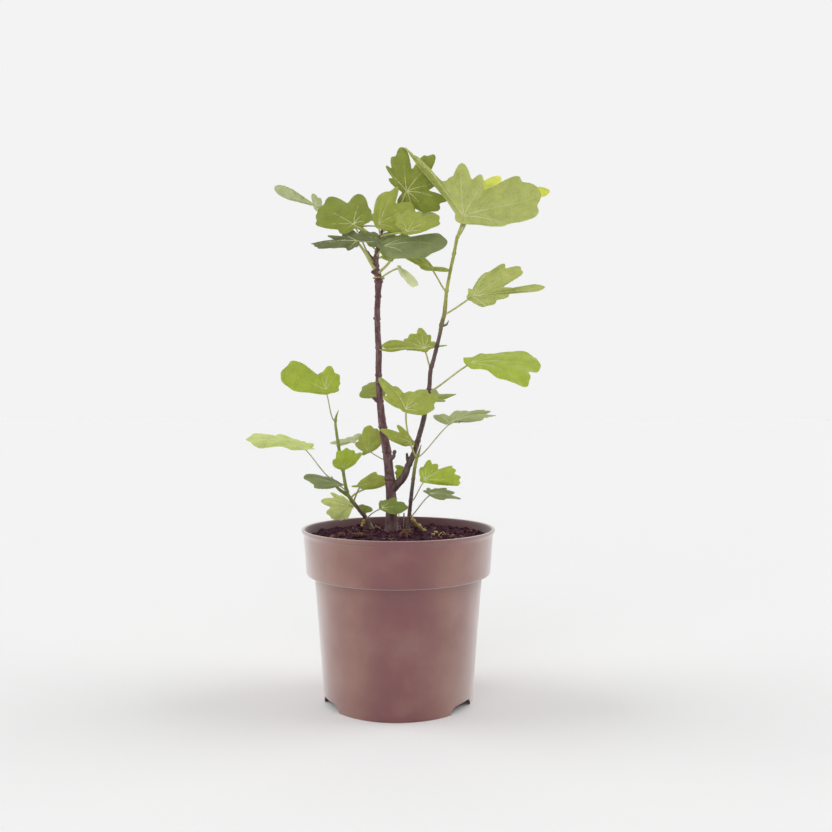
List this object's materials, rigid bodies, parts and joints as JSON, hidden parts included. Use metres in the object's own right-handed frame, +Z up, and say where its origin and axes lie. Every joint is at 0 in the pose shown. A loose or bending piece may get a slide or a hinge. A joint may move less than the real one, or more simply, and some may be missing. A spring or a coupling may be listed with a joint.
{
  "type": "potted fig tree",
  "caption": "Young fig tree with lobed leaves on bare upright stems, growing in compost in a round tapered nursery pot with a deep collar",
  "frame": {"origin": "on the pot's axis, at the flat underside of the pot", "axes": "+Z up, -Y towards the front, +X to the right seen from the front"},
  "size_m": [0.3028, 0.19, 0.5429],
  "materials": {
    "pot": "dusty brown moulded plastic, slightly satin",
    "soil": "moist crumbly compost",
    "bark": "smooth dark purplish brown bark",
    "green_wood": "young green wood",
    "leaf_bright": "soft matt leaf, lit through",
    "leaf_olive": "soft matt leaf",
    "leaf_grey": "felted leaf",
    "leaf_pale": "pale felted underside"
  },
  "bodies": {
    "root": {"pot": "pot", "soil": "soil", "trunk": "bark", "trunk_fork_twig": "bark", "second_stem": "bark", "right_shoot": "green_wood", "left_shoot": "green_wood", "left_fork": "green_wood", "leaf_crown_far_left": "leaf_pale", "leaf_crown_left_front": "leaf_olive", "leaf_crown_left_low": "leaf_grey", "leaf_crown_right_low": "leaf_grey", "leaf_crown_mid_left": "leaf_olive", "leaf_crown_mid_low": "leaf_olive", "leaf_crown_top": "leaf_olive", "leaf_crown_back_high": "leaf_olive", "leaf_crown_back_left": "leaf_olive", "leaf_crown_back_low": "leaf_grey", "leaf_ring_hanging": "leaf_pale", "leaf_ring_curl": "leaf_olive", "leaf_trunk_back": "leaf_olive", "leaf_trunk_left": "leaf_olive", "leaf_second_top": "leaf_pale", "leaf_second_top_behind": "leaf_bright", "leaf_second_left": "leaf_olive", "leaf_second_right_upper": "leaf_pale", "leaf_second_right_bright": "leaf_bright", "leaf_second_mid": "leaf_olive", "leaf_second_back": "leaf_olive", "leaf_second_front": "leaf_olive", "leaf_second_foot": "leaf_bright", "leaf_right_front": "leaf_olive", "leaf_right_top": "leaf_grey", "leaf_right_bright": "leaf_bright", "leaf_right_dark": "leaf_grey", "leaf_left_top": "leaf_bright", "leaf_left_strip": "leaf_grey", "leaf_left_two_lobed": "leaf_bright", "leaf_left_inner": "leaf_olive", "leaf_left_grey": "leaf_grey", "leaf_left_hanging": "leaf_bright", "leaf_left_small": "leaf_olive", "leaf_front_base": "leaf_olive", "leaf_left_back": "leaf_olive", "leaf_left_far": "leaf_bright"}
  },
  "joints": []
}
